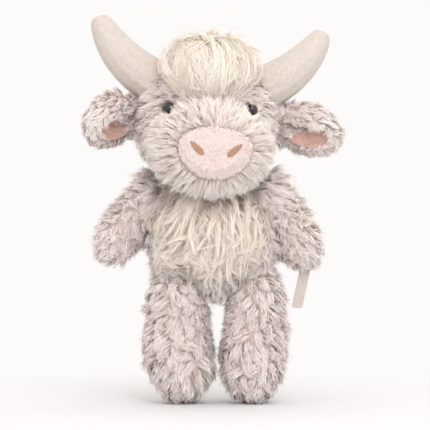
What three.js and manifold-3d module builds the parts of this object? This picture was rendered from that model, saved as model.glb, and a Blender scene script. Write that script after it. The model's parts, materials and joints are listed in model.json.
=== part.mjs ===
import * as THREE from 'three';
import { mergeVertices } from 'three/addons/utils/BufferGeometryUtils.js';
import Module from 'manifold-3d';

// A standing stuffed toy cow of long-pile fabric. Millimetres, +Z up, facing -Y, origin on the floor.
// Left and right are as the toy is seen from the front. Every cover is a shell of fabric with its
// dense pile, open where it is sewn to its neighbour, and each stuffed cover holds its own filling.

// Fabrics and clearances
const coverThickness = 6;
const velourThickness = 2.2;
const liningThickness = 1.6;
const seatGap = 0.3;
const swingGap = 0.8;
const cutOverrun = 12;
const footFlatDepth = 0.5;
const weldGap = 0.0001;
const searchSteps = 24;

// Torso, a pear that narrows into a round neck
const hipHeight = 92;
const torsoDrop = 3;
const torsoHeight = 103;
const torsoWidth = 107;
const torsoDepth = 84;
const torsoShift = -3;
const torsoWidthShares = [[0, 0.93], [0.25, 1], [0.5, 0.93], [0.75, 0.88], [1, 0.84]];
const torsoEndShare = 2.6;
const yokeHeight = 171;
const yokeRadius = 16;
const neckHeight = 165;
const neckRadius = 36;
const neckOpeningRadius = 15;

// Head, on the neck, turned and tilted as it stands
const headWidth = 122;
const headDepth = 104;
const headHeight = 112;
const headCentreHeight = 75;
const headShift = -12.5;
const headYaw = 6;
const headRoll = 3.5;
const headWidthShares = [[0, 0.98], [0.4, 1], [0.7, 0.98], [1, 0.9]];
const headEndShare = 2.15;

// Muzzle, a fabric bowl sewn into the front of the head round the nose patch
const muzzleWidth = 99;
const muzzleHeight = 75;
const muzzleLength = 62;
const muzzleReach = 84;
const muzzleCentreHeight = 50.5;
const muzzleWidthShares = [[0, 0.9], [0.45, 1], [1, 0.94]];
const muzzleEndShare = 2.5;

// Nose patch and its sewn nostrils
const noseShift = 1.5;
const noseWidth = 60.5;
const noseUpperHeight = 15;
const noseLowerHeight = 27;
const noseLineHeight = 51.5;
const noseProud = 0.6;
const nostrilLength = 16;
const nostrilWidth = 5.6;
const nostrilSpacing = 31.5;
const nostrilDrop = 2.7;
const nostrilTilt = 47;
const nostrilRise = 1.3;

// Safety eyes, each a moulded dome and shank with a toothed washer pressed on from inside
const eyeRadius = 5.4;
const eyeDomeHeight = 4.6;
const eyeFlangeThickness = 1;
const eyeSpacing = 72.5;
const eyeHeightLeft = 82.3;
const eyeHeightRight = 85.7;
const eyeBackingThickness = 1.8;
const shankRadius = 2;
const shankRidgeDepth = 0.35;
const shankRidgePitch = 2;
const shankRidges = 4;
const washerRadius = 7;
const washerThickness = 1.4;
const washerRise = 1.2;

// Horns, stuffed cones of velour that curve out and up
const hornBaseRadius = 19.8;
const hornTipRadius = 10.8;
const hornBaseSpread = 42;
const hornBaseHeight = 104;
const hornMiddleSpread = 80;
const hornMiddleHeight = 120;
const hornTipSpread = 97;
const hornTipHeight = 158.5;
const hornTaperShare = 1.5;
const hornEndShare = 5;

// Ears, a fur cup with a velour lining, each hinged on its upright seam
const earLength = 53;
const earHeight = 42;
const earDepth = 23;
const earRootRadius = 4;
const earRootHeight = 32;
const earCentreHeight = 75;
const earTipDrop = 12;
const earFlareShare = 0.2;
const earWall = 4.2;
const earMouthHeight = 20;
const earMouthDrop = 6;
const earMouthForward = 8;
const earTurnLeft = 42;
const earTurnRight = 14;
const earDroopLeft = 6;
const earDroopRight = -3.5;

// Long-pile patches
const forelockWidth = 86;
const forelockDepth = 72;
const forelockHeight = 66;
const forelockForward = 18;
const forelockCentreHeight = 114;
const chestPatchWidth = 84;
const chestPatchDepth = 44;
const chestPatchHeight = 61;
const chestPatchCentreHeight = 151;
const chestPatchForward = 25;

// Arms
const shoulderHeight = 176.5;
const shoulderSpread = 48;
const shoulderSeatSpread = 43;
const armRootRadius = 21;
const armLength = 71;
const armWidth = 43;
const armDepth = 42;
const armWidthShares = [[0, 0.93], [0.25, 0.95], [0.7, 1], [1, 0.98]];
const armEndShare = 3.2;
const armSplayLeft = 50;
const armSplayRight = 42;
const armBend = 24;

// Legs
const hipShift = 2;
const hipSpread = 32.5;
const legRootRadius = 25.5;
const legWidth = 61;
const legDepth = 60;
const legWidthShares = [[0, 0.836], [0.3, 0.9], [0.65, 1], [1, 0.99]];
const legEndShare = 3.4;
const legOpeningRadius = 11;
const legLiftAngle = 85;

// Tail
const tailRootHeight = 142;
const tailRootRadius = 5.5;
const tailWidth = 10;
const tailLength = 25;
const tuftWidth = 17;
const tuftLength = 21;
const tailLean = 6;

// Bare fabric tag sewn under the right paw
const tagWidth = 10;
const tagLength = 33;
const tagThickness = 1.1;
const tagCornerRadius = 2.4;
const tagTurn = 24;
const tagLean = 5;
const tagInward = 3;
const tagBack = 5;

// Facets
const torsoSides = 24;
const headSides = 26;
const ballSides = 24;
const limbSides = 18;
const smallSides = 12;
const formRings = 12;
const coarseSides = 14;
const coarseRings = 8;

// Colours and roughness
const furColour = 0xb9a6a0;
const muzzleColour = 0xd6cac3;
const pileColour = 0xebe1d4;
const hornColour = 0xece1d3;
const noseColour = 0xeed3cd;
const liningColour = 0xc99a90;
const nostrilColour = 0xba8a6c;
const eyeColour = 0x1c1b20;
const washerColour = 0xe9e9e6;
const fillingColour = 0xf6f5f1;
const tagColour = 0xdccfc6;
const furRoughness = 0.95;
const muzzleRoughness = 0.95;
const pileRoughness = 0.95;
const hornRoughness = 0.9;
const noseRoughness = 0.85;
const liningRoughness = 0.85;
const nostrilRoughness = 0.6;
const eyeRoughness = 0.15;
const washerRoughness = 0.5;
const fillingRoughness = 1;
const tagRoughness = 0.8;

const roundShares = [[0, 1], [1, 1]];
const roundEndShare = 2;
const tailEndShare = 6;
const tailShares = [[0, 0.98], [0.5, 0.9], [1, 0.85]];
const tuftShares = [[0, 0.7], [0.4, 0.95], [0.8, 0.8], [1, 0.6]];

const wasm = await Module();
wasm.setup();

/** A solid ready to be joined or cut, from a closed geometry. */
function solidOf(geometry) {
  const bare = geometry.clone();
  bare.deleteAttribute('normal');
  bare.deleteAttribute('uv');
  const welded = mergeVertices(bare, weldGap);
  const mesh = new wasm.Mesh({
    numProp: 3,
    vertProperties: new Float32Array(welded.attributes.position.array),
    triVerts: new Uint32Array(welded.index.array),
  });
  mesh.merge();
  return new wasm.Manifold(mesh);
}

/** The geometry of a finished solid. */
function geometryOf(solid) {
  const mesh = solid.getMesh();
  const geometry = new THREE.BufferGeometry();
  geometry.setAttribute('position', new THREE.BufferAttribute(new Float32Array(mesh.vertProperties), 3));
  geometry.setIndex(new THREE.BufferAttribute(new Uint32Array(mesh.triVerts), 1));
  geometry.computeVertexNormals();
  return geometry;
}

/** The value at a share along a smooth line through [share, value] pairs. */
function shareAt(pairs, share) {
  const line = new THREE.SplineCurve(pairs.map(([along, value]) => new THREE.Vector2(along, value)));
  let low = 0;
  let high = 1;
  for (let step = 0; step < searchSteps; step += 1) {
    const middle = (low + high) / 2;
    if (line.getPoint(middle).x < share) low = middle;
    else high = middle;
  }
  return line.getPoint(low).y;
}

/** How far a rounded end has closed at a share from the middle (0) to the end (1). */
function rounding(share, power) {
  return (1 - Math.min(share, 1) ** power) ** (1 / power);
}

/** The radius share of a swelling form, rounded at both ends, at a share of its height. */
function swell(pairs, power, share) {
  return shareAt(pairs, share) * rounding(Math.abs(2 * share - 1), power);
}

/** A closed stuffed form about Z with its middle at the origin. */
function stuffedForm(width, depth, height, pairs, power, sides, rings) {
  const profile = [];
  for (let ring = 0; ring <= rings; ring += 1) {
    const share = (1 - Math.cos((Math.PI * ring) / rings)) / 2;
    const closed = ring === 0 || ring === rings;
    profile.push(new THREE.Vector2(closed ? 0 : swell(pairs, power, share), share - 1 / 2));
  }
  const geometry = new THREE.LatheGeometry(profile, sides);
  geometry.rotateX(Math.PI / 2);
  geometry.scale(width / 2, depth / 2, height);
  return geometry;
}

/** A ball about the origin. */
function ball(radius, sides = ballSides) {
  const profile = [];
  const rings = sides / 2;
  for (let ring = 0; ring <= rings; ring += 1) {
    const angle = (Math.PI * ring) / rings - Math.PI / 2;
    const closed = ring === 0 || ring === rings;
    profile.push(new THREE.Vector2(closed ? 0 : radius * Math.cos(angle), radius * Math.sin(angle)));
  }
  return new THREE.LatheGeometry(profile, sides).rotateX(Math.PI / 2);
}

/** An upright rod from a low to a high Z. */
function rod(radius, low, high, sides = smallSides) {
  const geometry = new THREE.CylinderGeometry(radius, radius, high - low, sides);
  return geometry.rotateX(Math.PI / 2).translate(0, 0, (low + high) / 2);
}

/** Bends a form that lies along -Z onto a curve, with its sides kept square to the curve. */
function bendAlong(geometry, curve, length) {
  const positions = geometry.attributes.position;
  const forward = new THREE.Vector3(0, 1, 0);
  for (let index = 0; index < positions.count; index += 1) {
    const point = new THREE.Vector3().fromBufferAttribute(positions, index);
    const share = THREE.MathUtils.clamp(-point.z / length, 0, 1);
    const along = curve.getTangentAt(share);
    const side = new THREE.Vector3().crossVectors(along, forward);
    const beyond = -point.z - share * length;
    const bent = curve.getPointAt(share).addScaledVector(side, point.x).addScaledVector(along, beyond);
    bent.y += point.y;
    positions.setXYZ(index, bent.x, bent.y, bent.z);
  }
  geometry.computeVertexNormals();
  return geometry;
}

/** A limb along -Z: a round root about the origin, then a swelling length with a blunt end. */
function limbForm(rootRadius, length, width, depth, pairs, power, sides, rings) {
  const profile = [new THREE.Vector2(0, rootRadius)];
  const rootRings = Math.round(rings / 3);
  for (let ring = 1; ring < rootRings; ring += 1) {
    const angle = (Math.PI / 2) * (1 - ring / rootRings);
    profile.push(new THREE.Vector2(rootRadius * Math.cos(angle), rootRadius * Math.sin(angle)));
  }
  for (let ring = 0; ring < rings; ring += 1) {
    const share = Math.sin((Math.PI / 2) * (ring / rings));
    const swollen = (width / 2) * shareAt(pairs, share) * rounding(share, power);
    profile.push(new THREE.Vector2(ring === 0 ? rootRadius : swollen, -length * share));
  }
  profile.push(new THREE.Vector2(0, -length));
  profile.reverse();
  const geometry = new THREE.LatheGeometry(profile, sides).rotateX(Math.PI / 2);
  const positions = geometry.attributes.position;
  for (let index = 0; index < positions.count; index += 1) {
    const share = THREE.MathUtils.clamp(-positions.getZ(index) / length, 0, 1);
    const flatten = THREE.MathUtils.lerp(1, depth / width, Math.min(2 * share, 1));
    positions.setY(index, positions.getY(index) * flatten);
  }
  geometry.computeVertexNormals();
  return geometry;
}

/** A mesh with a name and its own material. */
function piece(name, solid, colour, roughness, metalness = 0) {
  const material = new THREE.MeshStandardMaterial({ color: colour, roughness, metalness });
  const mesh = new THREE.Mesh(geometryOf(solid), material);
  mesh.name = name;
  return mesh;
}

const sides = [['left', -1], ['right', 1]];
const radians = THREE.MathUtils.degToRad;

/** A solid from an outline drawn in X and Z, standing between two places in Y. */
function upright(shape, front, back, segments) {
  const geometry = new THREE.ExtrudeGeometry(shape, {
    depth: back - front, bevelEnabled: false, curveSegments: segments,
  });
  return solidOf(geometry.rotateX(Math.PI / 2).translate(0, back, 0));
}

// Torso

/** The torso's outline, grown or shrunk by a margin. */
function torsoForm(margin, around, rings) {
  const form = stuffedForm(
    torsoWidth + 2 * margin, torsoDepth + 2 * margin, torsoHeight + 2 * margin,
    torsoWidthShares, torsoEndShare, around, rings,
  );
  return solidOf(form.translate(torsoShift, 0, hipHeight - torsoDrop + torsoHeight / 2));
}

/** The round neck, grown or shrunk by a margin. */
function neckForm(margin) {
  return solidOf(ball(neckRadius + margin, headSides).translate(0, 0, neckHeight));
}

/** The shoulders, a bar across the torso from arm to arm, grown or shrunk by a margin. */
function yokeForm(margin) {
  const bar = rod(yokeRadius + margin, -shoulderSeatSpread, shoulderSeatSpread, coarseSides);
  return solidOf(bar.rotateY(Math.PI / 2).translate(torsoShift, 0, yokeHeight));
}

/** The room that a leg fills in its socket and when it is lifted to sit. */
function legRoom(side, margin) {
  const across = hipShift + side * hipSpread;
  const socket = ball(legRootRadius + margin).translate(across, 0, hipHeight);
  const reach = hipHeight / 2;
  const lifted = new THREE.CylinderGeometry(
    legWidth / 2 + margin, legRootRadius + margin, reach, ballSides,
  );
  lifted.rotateX(Math.PI / 2).translate(0, 0, reach / 2);
  lifted.rotateX(Math.PI - radians(legLiftAngle)).translate(across, 0, hipHeight);
  return solidOf(socket).add(solidOf(lifted));
}

/** The flat seat that an arm is sewn to. */
function armSeat(side, margin) {
  const seat = rod(armRootRadius + 2 * swingGap + margin, 0, torsoWidth, headSides);
  seat.rotateY((side * Math.PI) / 2);
  seat.translate(torsoShift + side * (shoulderSeatSpread - margin), 0, shoulderHeight);
  return solidOf(seat);
}

/** The torso's half width at a height. */
function torsoReach(height) {
  const share = (height - hipHeight + torsoDrop) / torsoHeight;
  return (torsoWidth / 2) * swell(torsoWidthShares, torsoEndShare, THREE.MathUtils.clamp(share, 0, 1));
}

/** The torso's side as a swinging arm sees it: turned about the shoulder's line, from its middle. */
function armSideRoom(side) {
  const seat = armRootRadius;
  const far = armLength + armRootRadius;
  const profile = [new THREE.Vector2(0, 0), new THREE.Vector2(far, 0)];
  for (let ring = 0; ring <= formRings; ring += 1) {
    const radius = THREE.MathUtils.lerp(far, seat, ring / formRings);
    profile.push(new THREE.Vector2(radius, torsoReach(shoulderHeight - radius) + swingGap));
  }
  profile.push(new THREE.Vector2(seat, shoulderSeatSpread + seatGap));
  profile.push(new THREE.Vector2(0, shoulderSeatSpread + seatGap));
  const room = new THREE.LatheGeometry(profile, headSides).rotateZ(-Math.PI / 2);
  const solid = solidOf(room);
  return side < 0 ? solid.mirror([1, 0, 0]) : solid;
}

function makeTorso() {
  let outside = torsoForm(0, torsoSides, formRings).add(neckForm(0)).add(yokeForm(0));
  let inside = torsoForm(-coverThickness, coarseSides, coarseRings).add(yokeForm(-coverThickness));
  let filling = torsoForm(-coverThickness - seatGap, coarseSides, coarseRings)
    .add(yokeForm(-coverThickness - seatGap));
  for (const [, side] of sides) {
    const wall = swingGap + coverThickness;
    outside = outside.subtract(legRoom(side, swingGap)).subtract(armSeat(side, 0));
    inside = inside.subtract(legRoom(side, wall)).subtract(armSeat(side, coverThickness));
    filling = filling.subtract(legRoom(side, wall + seatGap));
    filling = filling.subtract(armSeat(side, coverThickness + seatGap));
  }
  const middle = hipHeight + torsoHeight / 2;
  const top = neckHeight + neckRadius + cutOverrun;
  inside = inside.add(solidOf(rod(neckOpeningRadius, middle, top)));
  filling = filling.add(solidOf(rod(neckOpeningRadius - seatGap, middle, top))).intersect(outside);
  return [
    piece('torso_cover', outside.subtract(inside), furColour, furRoughness),
    piece('torso_filling', filling, fillingColour, fillingRoughness),
  ];
}

/** The long-pile patch on the chest, lying on the torso. */
function makeChestPatch() {
  const form = stuffedForm(
    chestPatchWidth, chestPatchDepth, chestPatchHeight, roundShares, roundEndShare, coarseSides, coarseRings,
  );
  form.translate(torsoShift, -chestPatchForward, chestPatchCentreHeight);
  const solid = solidOf(form).subtract(torsoForm(seatGap, torsoSides, formRings))
    .subtract(neckForm(seatGap));
  return piece('chest_pile_patch', solid, pileColour, pileRoughness);
}

// Head, in a group about the neck

/** The head's outline, grown or shrunk by a margin. */
function headForm(margin, around, rings) {
  const form = stuffedForm(
    headWidth + 2 * margin, headDepth + 2 * margin, headHeight + 2 * margin,
    headWidthShares, headEndShare, around, rings,
  );
  return solidOf(form.translate(headShift, 0, headCentreHeight));
}

/** The place on the front of the head at a spread from its middle and a height. */
function headFront(spread, height) {
  const share = (height - headCentreHeight) / headHeight + 1 / 2;
  const across = spread / (headWidth / 2);
  const out = Math.sqrt(swell(headWidthShares, headEndShare, share) ** 2 - across ** 2);
  return new THREE.Vector3(headShift + spread, (-headDepth / 2) * out, height);
}

/** The muzzle's outline, grown or shrunk by a margin. */
function muzzleForm(margin, around, rings) {
  const form = stuffedForm(
    muzzleWidth + 2 * margin, muzzleHeight + 2 * margin, muzzleLength + 2 * margin,
    muzzleWidthShares, muzzleEndShare, around, rings,
  );
  form.rotateX(Math.PI / 2);
  return solidOf(form.translate(headShift, muzzleLength / 2 - muzzleReach, muzzleCentreHeight));
}

/** The nose patch's outline as a block, grown or shrunk by a margin. */
function noseBlock(margin, back) {
  const outline = new THREE.Shape();
  const half = noseWidth / 2 + margin;
  outline.absellipse(0, 0, half, noseUpperHeight + margin, 0, Math.PI);
  outline.absellipse(0, 0, half, noseLowerHeight + margin, Math.PI, 2 * Math.PI);
  return upright(outline, -muzzleReach - cutOverrun, back, smallSides / 2)
    .translate(headShift + noseShift, 0, noseLineHeight);
}

/** One sewn nostril's outline as a block: pointed above, round below, leaning in. */
function nostrilBlock(side) {
  const tip = nostrilLength / 2;
  const belly = nostrilWidth / 2;
  const outline = new THREE.Shape();
  outline.moveTo(0, tip);
  outline.bezierCurveTo(-belly, tip / 2, -belly - belly / 4, -tip / 2, -belly / 2, -tip + belly / 4);
  outline.quadraticCurveTo(0, -tip - belly / 8, belly / 2, -tip + belly / 4);
  outline.bezierCurveTo(belly + belly / 4, -tip / 2, belly, tip / 2, 0, tip);
  const block = upright(outline, -muzzleReach - cutOverrun, -muzzleReach / 2, smallSides / 3);
  return block.rotate([0, side * nostrilTilt, 0])
    .translate(headShift + noseShift + (side * nostrilSpacing) / 2, 0, noseLineHeight - nostrilDrop);
}

/** Carries a geometry drawn about +Z at the origin to an eye, with +Z pointing out of the head. */
function atEye(geometry, side) {
  const step = eyeRadius;
  const across = (side * eyeSpacing) / 2;
  const height = side < 0 ? eyeHeightLeft : eyeHeightRight;
  const place = headFront(across, height);
  const beside = headFront(across + step, height).sub(place);
  const above = headFront(across, height + step).sub(place);
  const out = new THREE.Vector3().crossVectors(beside, above).normalize();
  const turn = new THREE.Quaternion().setFromUnitVectors(new THREE.Vector3(0, 0, 1), out);
  return geometry.applyQuaternion(turn).translate(place.x, place.y, place.z);
}

const eyeSeat = eyeBackingThickness - coverThickness;
const washerBack = -coverThickness - seatGap - washerThickness - washerRise;
const shankEnd = washerBack - shankRidgePitch;

/** The eye's dome, flange and ridged shank, from its tip along -Z to the top of its dome. */
function eyeGeometry() {
  const profile = [new THREE.Vector2(0, shankEnd)];
  const ridged = shankRidges * shankRidgePitch;
  for (let ridge = 0; ridge < shankRidges; ridge += 1) {
    const at = shankEnd + (ridged * ridge) / shankRidges;
    profile.push(new THREE.Vector2(shankRadius - shankRidgeDepth, at));
    profile.push(new THREE.Vector2(shankRadius, at + shankRidgePitch / 2));
  }
  const rim = eyeSeat + seatGap;
  profile.push(new THREE.Vector2(shankRadius - shankRidgeDepth, rim));
  profile.push(new THREE.Vector2(eyeRadius, rim));
  for (let ring = 0; ring < smallSides / 3; ring += 1) {
    const angle = ((Math.PI / 2) * ring) / (smallSides / 3);
    const height = rim + eyeFlangeThickness + eyeDomeHeight * Math.sin(angle);
    profile.push(new THREE.Vector2(eyeRadius * Math.cos(angle), height));
  }
  profile.push(new THREE.Vector2(0, rim + eyeFlangeThickness + eyeDomeHeight));
  return new THREE.LatheGeometry(profile, smallSides).rotateX(Math.PI / 2);
}

/** The dished washer that grips the shank inside the head. */
function washerGeometry() {
  const hole = shankRadius + seatGap;
  const face = -coverThickness - seatGap;
  const profile = [
    [hole, face - washerRise], [hole, face - washerRise - washerThickness],
    [washerRadius, face - washerThickness], [washerRadius, face], [hole, face - washerRise],
  ].map(([radius, height]) => new THREE.Vector2(radius, height));
  return new THREE.LatheGeometry(profile, smallSides).rotateX(Math.PI / 2);
}

/** A rod from a low to a high place on an eye's own line. */
function eyeRod(radius, low, high, side) {
  return solidOf(atEye(rod(radius, low, high), side));
}

/** The horn's outline, grown or shrunk by a margin. */
function hornForm(side, margin) {
  const curve = new THREE.QuadraticBezierCurve3(
    new THREE.Vector3(hornBaseSpread, 0, hornBaseHeight),
    new THREE.Vector3(hornMiddleSpread, 0, hornMiddleHeight),
    new THREE.Vector3(hornTipSpread, 0, hornTipHeight),
  );
  const length = curve.getLength();
  const rings = formRings;
  const profile = [new THREE.Vector2(0, -length - margin)];
  for (let ring = 1; ring < rings; ring += 1) {
    const share = Math.sin((Math.PI / 2) * (1 - ring / rings));
    const narrowing = share ** hornTaperShare;
    const taper = THREE.MathUtils.lerp(hornBaseRadius, hornTipRadius, narrowing) + margin;
    profile.push(new THREE.Vector2(taper * rounding(share, hornEndShare), -(length + margin) * share));
  }
  profile.push(new THREE.Vector2(hornBaseRadius + margin, 0), new THREE.Vector2(0, 0));
  const form = new THREE.LatheGeometry(profile, smallSides).rotateX(Math.PI / 2);
  const bent = solidOf(bendAlong(form, curve, length));
  const turned = side < 0 ? bent.mirror([1, 0, 0]) : bent;
  return turned.translate(headShift, 0, 0);
}

function makeHead() {
  const neck = solidOf(ball(neckRadius + swingGap, headSides));
  const outline = headForm(0, headSides, formRings).subtract(neck);
  const muzzle = muzzleForm(0, headSides, coarseRings);
  let cover = outline.subtract(muzzleForm(seatGap, headSides, coarseRings));
  const wall = neckRadius + swingGap + coverThickness;
  let inside = headForm(-coverThickness, coarseSides, coarseRings).subtract(solidOf(ball(wall)));
  let filling = headForm(-coverThickness - seatGap, coarseSides, coarseRings)
    .subtract(solidOf(ball(wall + seatGap)))
    .add(muzzleForm(-coverThickness - seatGap, coarseSides, coarseRings)
      .subtract(solidOf(ball(wall + seatGap))));
  const noseBack = -velourThickness - seatGap;
  const noseBed = muzzleForm(noseBack, coarseSides, coarseRings)
    .intersect(noseBlock(-2 * seatGap, -muzzleReach / 2));
  filling = filling.add(noseBed);
  inside = inside.add(solidOf(rod(neckOpeningRadius, 0, headCentreHeight)));
  filling = filling.add(solidOf(rod(neckOpeningRadius - seatGap, 0, headCentreHeight)).subtract(neck));
  cover = cover.subtract(inside);
  let bowl = muzzle.subtract(muzzleForm(-coverThickness, coarseSides, coarseRings))
    .subtract(noseBlock(seatGap, -muzzleReach / 2))
    .subtract(headForm(-coverThickness, coarseSides, coarseRings))
    .subtract(neck);
  const parts = [];
  for (const [name, side] of sides) {
    const washerRoom = eyeRod(washerRadius + seatGap, shankEnd, -coverThickness, side);
    cover = cover.subtract(eyeRod(shankRadius + seatGap, shankEnd, 0, side));
    cover = cover.subtract(eyeRod(eyeRadius + seatGap, eyeSeat, cutOverrun, side)).subtract(washerRoom);
    bowl = bowl.subtract(washerRoom);
    filling = filling.subtract(eyeRod(washerRadius + seatGap, shankEnd - seatGap, 0, side));
    parts.push(piece(`eye_${name}`, solidOf(atEye(eyeGeometry(), side)), eyeColour, eyeRoughness));
    parts.push(piece(`eye_washer_${name}`, solidOf(atEye(washerGeometry(), side)), washerColour, washerRoughness));
  }
  const nose = muzzleForm(noseProud, headSides, coarseRings)
    .subtract(muzzleForm(-velourThickness, headSides, coarseRings))
    .intersect(noseBlock(0, -muzzleReach / 2));
  parts.push(
    piece('head_cover', cover, furColour, furRoughness),
    piece('head_filling', filling, fillingColour, fillingRoughness),
    piece('muzzle_cover', bowl, muzzleColour, muzzleRoughness),
    piece('nose_patch', nose, noseColour, noseRoughness),
  );
  for (const [name, side] of sides) {
    const thread = muzzleForm(noseProud + nostrilRise, headSides, coarseRings)
      .subtract(muzzleForm(noseProud + seatGap, headSides, coarseRings))
      .intersect(nostrilBlock(side));
    parts.push(piece(`nostril_${name}`, thread, nostrilColour, nostrilRoughness));
  }
  return parts;
}

/** Both horns, cut to sit on the head, and the long-pile forelock between them. */
function makeCrown() {
  const parts = [];
  const scalp = headForm(seatGap, headSides, formRings);
  const form = stuffedForm(
    forelockWidth, forelockDepth, forelockHeight, roundShares, roundEndShare, coarseSides, coarseRings,
  );
  form.translate(headShift, -forelockForward, forelockCentreHeight);
  let forelock = solidOf(form).subtract(scalp);
  for (const [name, side] of sides) {
    const outside = hornForm(side, 0).subtract(scalp);
    const cover = outside.subtract(hornForm(side, -velourThickness));
    const filling = hornForm(side, -velourThickness - seatGap).subtract(scalp);
    forelock = forelock.subtract(hornForm(side, seatGap));
    parts.push(piece(`horn_cover_${name}`, cover, hornColour, hornRoughness));
    parts.push(piece(`horn_filling_${name}`, filling, fillingColour, fillingRoughness));
  }
  parts.push(piece('forelock_pile_patch', forelock, pileColour, pileRoughness));
  return parts;
}

/** Lowers an ear's form towards its tip, and makes it taller towards its root. */
function drooped(geometry, side) {
  const positions = geometry.attributes.position;
  for (let index = 0; index < positions.count; index += 1) {
    const share = THREE.MathUtils.clamp((side * positions.getX(index)) / earLength, 0, 1);
    const taller = 1 + earFlareShare * (1 - share) ** 2;
    positions.setZ(index, positions.getZ(index) * taller - earTipDrop * share ** 2);
  }
  return geometry;
}

/** An ear about its upright seam: a fur cup that opens down and forward, and its velour lining. */
function makeEar(name, side) {
  const around = smallSides;
  const middle = (earLength - earRootRadius) / 2;
  const form = (height, margin, forward, drop) => {
    const leaf = ball(1, around)
      .scale(earLength / 2 + margin, earDepth / 2 + margin, height / 2 + margin)
      .translate(side * middle, forward, drop);
    return solidOf(drooped(leaf, side));
  };
  const root = solidOf(rod(earRootRadius, -earRootHeight / 2, earRootHeight / 2, around));
  const outside = form(earHeight, 0, 0, 0).add(root);
  const cup = (margin) => form(
    earMouthHeight + 2 * earWall, -earWall - margin, -earMouthForward, -earMouthDrop,
  );
  const mouth = cup(0);
  const lining = cup(seatGap).intersect(outside).subtract(cup(seatGap + liningThickness));
  const group = new THREE.Group();
  group.add(
    piece(`ear_cover_${name}`, outside.subtract(mouth), furColour, furRoughness),
    piece(`ear_lining_${name}`, lining, liningColour, liningRoughness),
  );
  return group;
}

// Limbs

const limbSizes = {
  arm: [armRootRadius, armLength, armWidth, armDepth, armWidthShares, armEndShare],
  leg: [legRootRadius, hipHeight + footFlatDepth, legWidth, legDepth, legWidthShares, legEndShare],
};

/** A limb's outline about its root, grown or shrunk by a margin. */
function limbOutline(kind, margin, around, rings) {
  const [rootRadius, length, width, depth, pairs, power] = limbSizes[kind];
  return limbForm(
    rootRadius + margin, length + margin, width + 2 * margin, depth + 2 * margin,
    pairs, power, around, rings,
  );
}

/** The line that a hanging arm follows from its shoulder, drooping towards its paw. */
function armLine(side) {
  const splay = radians(side < 0 ? armSplayLeft : armSplayRight);
  const half = armLength / 2;
  const elbow = new THREE.Vector3(half * Math.sin(splay), 0, -half * Math.cos(splay));
  const droop = splay - radians(armBend);
  const end = new THREE.Vector3(half * Math.sin(droop), 0, -half * Math.cos(droop)).add(elbow);
  return new THREE.QuadraticBezierCurve3(new THREE.Vector3(), elbow, end);
}

/** An arm about its shoulder, bent down as it hangs, with a flat end sewn to the torso. */
function makeArm(name, side) {
  const curve = armLine(side);
  const form = (margin, around, rings) => {
    const bent = solidOf(bendAlong(limbOutline('arm', margin, around, rings), curve, armLength));
    return side < 0 ? bent.mirror([1, 0, 0]) : bent;
  };
  const room = armSideRoom(side).translate(-side * shoulderSpread, 0, 0);
  const outside = form(0, limbSides, formRings).subtract(room);
  const inside = form(-coverThickness, coarseSides, coarseRings);
  const filling = form(-coverThickness - seatGap, coarseSides, coarseRings).intersect(outside);
  const group = new THREE.Group();
  group.add(
    piece(`arm_cover_${name}`, outside.subtract(inside), furColour, furRoughness),
    piece(`arm_filling_${name}`, filling, fillingColour, fillingRoughness),
  );
  group.position.set(torsoShift + side * shoulderSpread, 0, shoulderHeight);
  return group;
}

/** A leg about its hip: a round root in the torso's socket and a blunt foot, cut flat to stand on. */
function makeLeg(name, side) {
  const form = (margin, around, rings) => solidOf(limbOutline('leg', margin, around, rings));
  const floor = new THREE.BoxGeometry(2 * legWidth, 2 * legDepth, cutOverrun);
  floor.translate(0, 0, -hipHeight - cutOverrun / 2);
  const outside = form(0, limbSides, formRings).subtract(solidOf(floor));
  const mouth = rod(legOpeningRadius, 0, legRootRadius + cutOverrun);
  const plug = rod(legOpeningRadius - seatGap, 0, legRootRadius + cutOverrun);
  const inside = form(-coverThickness, coarseSides, coarseRings).add(solidOf(mouth));
  const filling = form(-coverThickness - seatGap, coarseSides, coarseRings)
    .add(solidOf(plug)).intersect(outside);
  const group = new THREE.Group();
  group.add(
    piece(`leg_cover_${name}`, outside.subtract(inside), furColour, furRoughness),
    piece(`leg_filling_${name}`, filling, fillingColour, fillingRoughness),
  );
  group.position.set(hipShift + side * hipSpread, 0, hipHeight);
  return group;
}

// Tail and tag

/** A thin tail about its root, with a fuller tuft on its end. */
function makeTail() {
  const cord = limbForm(
    tailRootRadius, tailLength, tailWidth, tailWidth, tailShares, tailEndShare, smallSides / 2, coarseRings,
  );
  const tuft = stuffedForm(
    tuftWidth, tuftWidth, tuftLength, tuftShares, roundEndShare, smallSides, coarseRings,
  );
  tuft.translate(0, 0, -tailLength - seatGap - tuftLength / 2);
  const group = new THREE.Group();
  group.add(
    piece('tail', solidOf(cord), furColour, furRoughness),
    piece('tail_tuft', solidOf(tuft), pileColour, pileRoughness),
  );
  const back = (torsoDepth / torsoWidth) * torsoReach(tailRootHeight);
  group.position.set(torsoShift, back + tailRootRadius + seatGap, tailRootHeight);
  group.rotation.x = radians(tailLean);
  return group;
}

/** A bare fabric tag with round lower corners, hanging from its sewn upper edge. */
function makeTag() {
  const half = tagWidth / 2;
  const corner = tagCornerRadius;
  const outline = new THREE.Shape();
  outline.moveTo(-half, 0);
  outline.lineTo(-half, corner - tagLength);
  outline.absarc(corner - half, corner - tagLength, corner, Math.PI, (3 * Math.PI) / 2);
  outline.absarc(half - corner, corner - tagLength, corner, (3 * Math.PI) / 2, 2 * Math.PI);
  outline.lineTo(half, 0);
  outline.closePath();
  const solid = upright(outline, -tagThickness / 2, tagThickness / 2, smallSides / 3);
  const tag = piece('tag', solid, tagColour, tagRoughness);
  const paw = armLine(1).getPointAt(1);
  const along = armLine(1).getTangentAt(1);
  tag.position.set(paw.x + tagInward * along.z, tagBack, paw.z - tagInward * along.x);
  tag.position.addScaledVector(along, 2 * swingGap);
  tag.rotation.set(0, radians(tagLean), radians(tagTurn), 'ZYX');
  return tag;
}

// Assembly

const cow = new THREE.Group();
cow.add(...makeTorso(), makeChestPatch(), makeTail());

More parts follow.
